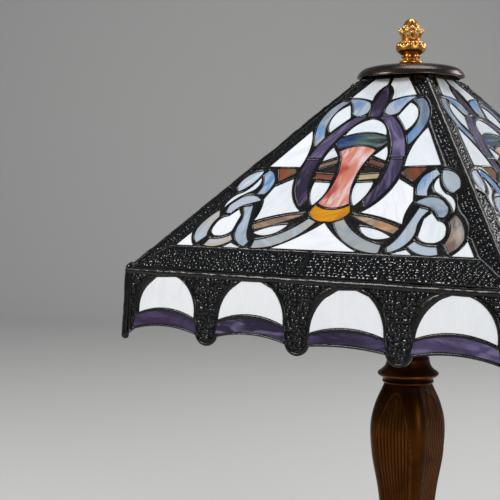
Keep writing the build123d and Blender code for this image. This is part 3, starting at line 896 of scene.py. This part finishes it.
def bead_run(start, end, radius, seed):
    """A lumpy run of solder between two points, with rounded ends."""
    start, end = Vector(start), Vector(end)
    axis = (end - start).normalized()
    across = axis.orthogonal().normalized()
    other = axis.cross(across)
    length = (end - start).length
    cap = [(-radius * cos(a), sin(a)) for a in (0.12, 0.45, 0.8, 1.2)]
    stations = cap + [(s, 1.0) for s in np.linspace(0, length, int(length / RUN_STEP))]
    stations += [(length - s, scale) for s, scale in reversed(cap)]
    centres = np.array([tuple(start + axis * s) for s, _ in stations])
    around = np.array([tuple(across * cos(a) + other * sin(a))
                       for a in np.arange(RUN_SIDES) * 2 * pi / RUN_SIDES])
    points = np.repeat(centres, RUN_SIDES, axis=0)
    outward = np.tile(around, (len(stations), 1))
    shape = np.repeat([scale for _, scale in stations], RUN_SIDES) * radius
    swell = 0.6 * lumps(points, 22.0, seed) + 0.42 * lumps(points + outward * radius, 7.0, seed + 1)
    swell += 0.18 * lumps(points + outward * radius, 3.0, seed + 2)
    points = points + outward * (shape + np.minimum(shape, 1) * swell)[:, None]
    return points, tube_faces(len(stations), RUN_SIDES)


def add_edge_runs():
    half = SHOULDER_HALF - RUN_SINK
    slope_up = SLOPE.to_3x3() @ Vector((0, 1, 0))
    grade = slope_up.z / slope_up.y
    hip_top_z = SHOULDER_Z + grade * (SHOULDER_HALF - HIP_END_HALF)
    parts = []
    for i, turn in enumerate(SIDE_TURNS):
        corner = turn @ Vector((half, -half, SHOULDER_Z - RUN_SINK / 2))
        top = turn @ Vector((HIP_END_HALF - 1, 1 - HIP_END_HALF, hip_top_z - RUN_SINK))
        tip_half = SHOULDER_HALF + SKIRT_SPLAY - RUN_SINK
        tip = turn @ Vector((tip_half, -tip_half, SHOULDER_Z - SKIRT_DEPTH + 2))
        beside = SIDE_TURNS[1] @ corner
        parts += [bead_run(corner, top, HIP_R, 10 + i), bead_run(corner, tip, RUN_R, 20 + i),
                  bead_run(corner, beside, RUN_R, 30 + i)]
        for k, size in enumerate((4.2, 6.0)):
            along = corner.lerp(top, (0.985, 0.012)[k]) + Vector((0, 0, k))
            blob, faces = ball(along, (size, size, size * 0.8), 14, 22)
            blob = blob + (blob - np.array(along)) * 0.12 * lumps(blob, 5.0, 40 + 3 * i + k)[:, None]
            parts.append((blob, faces))
    points, faces = joined(parts)
    piece("edge_solder_runs", points * MM, faces, "shade", [SOLDER], "corner_solder")


# ---- cap, finial, collar

def add_cap():
    low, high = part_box("vase_cap")
    radius, bottom, top = high.x / MM, low.z / MM, high.z / MM
    outside = through([(radius - 1.4, bottom + 0.1), (radius - 0.1, bottom + 0.4), (radius, bottom + 1.6),
                       (radius - 0.8, bottom + 3.4), (radius - 2.2, bottom + 5.6), (radius - 6.5, top - 5.0),
                       (38, top - 2.6), (26, top - 1.0), (15, top - 0.2), (5.6, top)], 8)
    inside_edge = [(5.6, top - 1.2), (26, top - 2.2), (38, top - 3.8), (radius - 7.4, top - 6.2),
                   (radius - 3.4, bottom + 4.0), (radius - 2.0, bottom + 1.6), (radius - 1.4, bottom + 0.1)]
    profile = np.vstack([outside, inside_edge])

    def hammered(angle, r, z):
        spots = np.stack([r * np.cos(angle), r * np.sin(angle), z], axis=2)
        dents = lumps(spots.reshape(-1, 3), 9.0, 3).reshape(spots.shape[:2])
        return 0.12 * dents * (r > 20)

    points, faces = lathe(profile, 144, hammered)
    edge = np.linalg.norm(points[:, :2], axis=1) / radius
    relief = 0.35 + 0.5 * (edge > 0.93) + 0.1 * lumps(points, 12.0, 4)
    metal_piece("spun_cap", points, faces, "shade", CAP_METAL, "vase_cap", relief)


FINIAL_TURN = radians(36.7)         # how the ornament is turned on its rod
COLLAR_RISE = 42                    # from the collar's widest ring to its top


def add_finial():
    low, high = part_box("finial")
    base, tall = low.z / MM, (high.z - low.z) / MM
    stations = [(10.2, 0), (11.2, 0.7), (11.3, 1.9), (10.4, 3.0), (7.6, 3.8), (7.2, 4.8), (8.3, 6.0),
                (8.7, 7.4), (8.9, 8.6), (10.6, 9.8), (12.9, 11.4), (14.4, 13.4), (14.8, 15.4),
                (14.4, 18.0), (13.0, 20.6), (10.2, 22.4), (8.8, 23.8), (9.2, 26.2), (10.2, 28.8),
                (10.6, 31.2), (10.0, 33.4), (8.8, 35.4), (7.9, 37.4), (6.7, 39.9), (5.0, 42.3),
                (2.6, 44.2), (0.3, tall)]
    profile = through(stations, 7)

    def fade(z, low_z, high_z, soft):
        return np.clip((z - low_z) / soft, 0, 1) * np.clip((high_z - z) / soft, 0, 1)

    def ornament(angle, r, z):
        around = angle - FINIAL_TURN
        heads = (np.abs(np.cos(10 * around)) ** 0.6 - 0.6) * 1.5 * fade(z, 16.6, 22.8, 1.6)
        calyx = (np.abs(np.cos(3 * around)) ** 0.7 - 0.62) * 2.1 * fade(z, 3.9, 9.6, 1.6)
        leaves = (np.abs(np.cos(3 * around)) - 0.6) * 2.0 * fade(z, 24.2, 35.0, 3.6)
        veins = np.cos(18 * around) * 0.2 * fade(z, 25.2, 33.4, 2.0)
        bud = (np.abs(np.cos(3 * around)) ** 0.5 - 0.8) * 1.1 * fade(z, 35.4, 44.6, 2.4)
        return heads + calyx + leaves + veins + bud

    points, faces = lathe(profile, 160, ornament)
    plain, _ = lathe(profile, 160)
    raised = np.linalg.norm(points[:, :2], axis=1) - np.linalg.norm(plain[:, :2], axis=1)
    relief = 0.5 + raised * 0.75
    parts = [(points, faces)]
    # The leaves' curls, with a berry and a drop between: turn, radius, height, size and mesh.
    beads = [(0, 10.6, 32.4, (2.4, 2.4, 2.6), 12, 18), (30, 7.6, 35.4, (2.0, 2.0, 2.2), 10, 14),
             (30, 9.2, 30.4, (1.9, 1.9, 1.6), 10, 14)]
    for k in range(6):
        for turn, out, z, *shape in beads:
            angle = FINIAL_TURN + radians(60 * k) + radians(turn)
            centre = (out * cos(angle), out * sin(angle), z)
            parts.append(ball(centre, *shape))
    whole, faces = joined(parts)
    full = np.ones(len(whole))
    full[:len(relief)] = relief
    metal_piece("chased_finial", whole + (0, 0, base), faces, "finial_body", GILT,
                "finial", full)


def add_collar():
    _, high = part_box("collar")
    ring_z, radius = high.z / MM - COLLAR_RISE, high.x / MM
    profile = through([(5.2, COLLAR_RISE), (8.0, COLLAR_RISE), (8.6, 38), (9.6, 30), (11.5, 24.5),
                       (15.5, 20), (20.6, 17), (21.6, 13), (23.2, 8.4), (26.4, 4.6), (29.6, 2.4),
                       (radius, 0.8), (radius - 0.5, -0.8), (27.6, -2.4), (25.2, -3.6), (25.0, -5.2),
                       (25.8, -6.6), (25.4, -8.2), (23.8, -9.4), (22.0, -10.0), (14.2, -10.2),
                       (14.0, -13.8), (5.2, -13.9)], 6)
    points, faces = lathe(profile, 128)
    edge = np.abs(points[:, 2]) < 2.2
    grooves = (points[:, 2] < -3.2) & (points[:, 2] > -5.8)
    metal_piece("spun_collar", points + (0, 0, ring_z), faces, "stand", CAST_GOLD,
                "collar", 0.5 + 0.35 * edge - 0.45 * grooves)


# ---- column and foot

ROUNDING = 0.42             # the column's corner radius, as a share of its half width


def square_ring(rounding, per_face, per_corner):
    """A rounded square of half width 1: points, outward directions, and place across the face."""
    flat = 1 - rounding
    points, outward, across = [], [], []
    for face in range(4):
        c, s = cos(pi / 2 * face), sin(pi / 2 * face)
        local = [((x, -1), (0, -1), x) for x in np.linspace(-flat, flat, per_face, endpoint=False)]
        for a in np.linspace(0, pi / 2, per_corner, endpoint=False):
            x, y = flat + rounding * sin(a), -flat - rounding * cos(a)
            local.append(((x, y), (sin(a), -cos(a)), x if a < pi / 4 else 2.0))
        for (x, y), (nx, ny), place in local:
            points.append((c * x - s * y, s * x + c * y))
            outward.append((c * nx - s * ny, s * nx + c * ny))
            across.append(place)
    return np.array(points), np.array(outward), np.array(across)


def add_column():
    low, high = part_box("column")
    bottom, top = low.z / MM, high.z / MM
    stations = [(0, 31.0), (14, 24.5), (42, 22.0), (74, 24.5), (108, 29.5), (138, 31.0), (160, 27.5),
                (top - bottom, 20.0)]
    ring, outward, across = square_ring(ROUNDING, 96, 22)
    points, relief = [], []
    apex = top - bottom - 9.0
    off = np.abs(across)
    for z, half in through(stations, 26):
        arch = apex - 58 * (off / 0.66) ** 2.3
        below = np.clip((arch - z) / 2.5, 0, 1) * (off < 0.62)
        foot_fade = np.clip((z - 9) / 8, 0, 1)
        reeds = (np.abs(np.cos(across * pi * 5 / 0.62)) ** 0.8 - 0.62) * 0.9
        rim = np.exp(-((arch + 2.6 - z) / 1.5) ** 2) * (off < 0.7)
        outer_rim = np.exp(-((arch + 7.5 - z) / 1.1) ** 2) * (off < 0.75)
        side_rim = np.exp(-((off - 0.665) / 0.022) ** 2) * (z < arch + 3)
        height = below * foot_fade * reeds + 0.6 * np.maximum(rim, side_rim * foot_fade) + 0.3 * outer_rim
        points.append(at_height(ring * half + outward * height[:, None], bottom + z))
        relief.append(0.5 + 0.6 * height)
    faces = tube_faces(len(points), len(ring))
    metal_piece("reeded_column", np.concatenate(points), faces, "stand", CAST_GOLD,
                "column", np.concatenate(relief))


def add_foot():
    low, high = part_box("foot")
    half, bottom, top = high.x / MM, low.z / MM, high.z / MM
    # Half width (for the steps, how far in it is), height and corner radius.
    steps = [(3, 0.0, 10), (0.6, 0.4, 12), (0, 1.4, 12), (0, 9.0, 12), (0.4, 10.6, 12), (1.8, 12.0, 11),
             (3.4, 12.9, 11), (5.6, 13.4, 10), (8.6, 13.8, 10), (9.4, 14.6, 10), (9.2, 16.2, 10),
             (9.8, 18.6, 10), (12, 20.8, 9), (16, 22.3, 9), (21, 23.0, 9), (25.2, 23.6, 9), (26, 24.6, 9),
             (26.4, 27.0, 9), (28, 28.8, 9), (31, 29.6, 9), (36, 30.6, 9.5), (45, 33.4, 10),
             (52, 37.6, 10.5), (56.6, 42.0, 11.5)]
    neck = [(33.2, top - bottom - 1.6, 12), (33.6, top - bottom - 0.4, 12), (30.0, top - bottom, 11)]
    stations = [(half - inset, z, corner) for inset, z, corner in steps] + neck
    fine = through([(h, z) for h, z, _ in stations], 5)
    corner = np.interp(np.linspace(0, len(stations) - 1, len(fine)), range(len(stations)),
                       [c for _, _, c in stations])
    points, relief = [], []
    slope = np.gradient(fine[:, 0]) / np.maximum(np.abs(np.gradient(fine[:, 1])), 0.05)
    for (width, z), radius, steep in zip(fine, corner, slope):
        ring, _, _ = square_ring(radius / width, 28, 10)
        points.append(at_height(ring * width, bottom + z))
        relief.append(np.full(len(ring), 0.62 - 0.2 * np.clip(-steep / 6, 0, 1)))
    faces = tube_faces(len(points), len(points[0]))
    metal_piece("stepped_foot", np.concatenate(points), faces, "stand", CAST_GOLD,
                "foot", np.concatenate(relief))


# ---- carried-over hardware

HARDWARE = {
    BRASS: ["cluster_body", "left_socket", "right_socket", "left_pull_chain", "right_pull_chain", "seat_nut",
            "seat_washer", "top_ring"],
    STEEL: ["centre_rod", "base_nut"],
    BULB_METAL: ["left_bulb_base", "right_bulb_base"],
    FROSTED: ["left_bulb_glass", "right_bulb_glass"],
    FELT: ["felt_pad"],
    PLASTIC: ["cord_grommet"],
}


def finish_hardware():
    for material, names in HARDWARE.items():
        for name in names:
            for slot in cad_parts[name].material_slots:
                slot.material = material


# ---- floor, light and camera

VIEW_AZIMUTH = 28.4         # how far round Z the camera stands from the front, in degrees
CAMERA_PLACE = (0.5344, -0.9877, 0.4358)
CAMERA_AIM = (-0.5950, 0.8014, -0.0610)
CAMERA_LENS = 79.9
LIGHTS_AIM = Vector((0, 0, 0.38))


def add_floor():
    material = Nodes("pale_floor").set(Base_Color=srgb(206, 205, 202), Roughness=0.7)
    half, depth, back, radius, height = 4, 3.0, 2.2, 0.8, 3.2
    section = [(-depth, 0)] + [(back + radius * sin(a), radius - radius * cos(a))
                               for a in np.linspace(0, pi / 2, 16)] + [(back + radius, height)]
    look = Matrix.Rotation(radians(VIEW_AZIMUTH), 3, "Z")
    points = [look @ Vector((x, y, z)) for y, z in section for x in (-half, half)]
    faces = [(2 * i, 2 * i + 1, 2 * i + 3, 2 * i + 2) for i in range(len(section) - 1)]
    floor = linked_object("pale_floor", smooth_mesh("pale_floor", points, faces, [material]))


def add_light(name, place, size, power, colour=(1, 1, 1)):
    lamp = bpy.data.lights.new(name, "AREA")
    lamp.shape = "RECTANGLE"
    lamp.size, lamp.size_y = size
    lamp.energy = power
    lamp.color = colour
    made = linked_object(name, lamp)
    made.location = place
    made.rotation_euler = (LIGHTS_AIM - Vector(place)).to_track_quat("-Z", "Y").to_euler()


def add_lights():
    world = bpy.data.worlds.new("studio")
    world.use_nodes = True
    background = world.node_tree.nodes["Background"].inputs
    background["Color"].default_value = (0.86, 0.92, 1.0, 1)
    background["Strength"].default_value = 0.2
    bpy.context.scene.world = world
    add_light("key", (-1.1, -1.7, 1.5), (0.7, 0.7), 30, (1.0, 0.98, 0.95))
    add_light("fill", (1.7, -0.9, 0.9), (0.8, 1.0), 12, (0.92, 0.96, 1.0))
    add_light("top", (0.1, 0.3, 2.1), (1.0, 0.7), 16)
    add_light("rim", (0.9, 1.6, 1.2), (0.8, 0.9), 15)


def add_camera():
    data = bpy.data.cameras.new("camera")
    data.sensor_width = 36
    data.lens = CAMERA_LENS
    camera = linked_object("camera", data)
    camera.location = CAMERA_PLACE
    camera.rotation_euler = Vector(CAMERA_AIM).to_track_quat("-Z", "Y").to_euler()
    bpy.context.scene.camera = camera


add_solder_nets()
add_glass()
add_edge_runs()
add_cap()
add_finial()
add_collar()
add_column()
add_foot()
finish_hardware()
add_floor()
add_lights()
add_camera()
bpy.context.scene.view_settings.view_transform = "Standard"
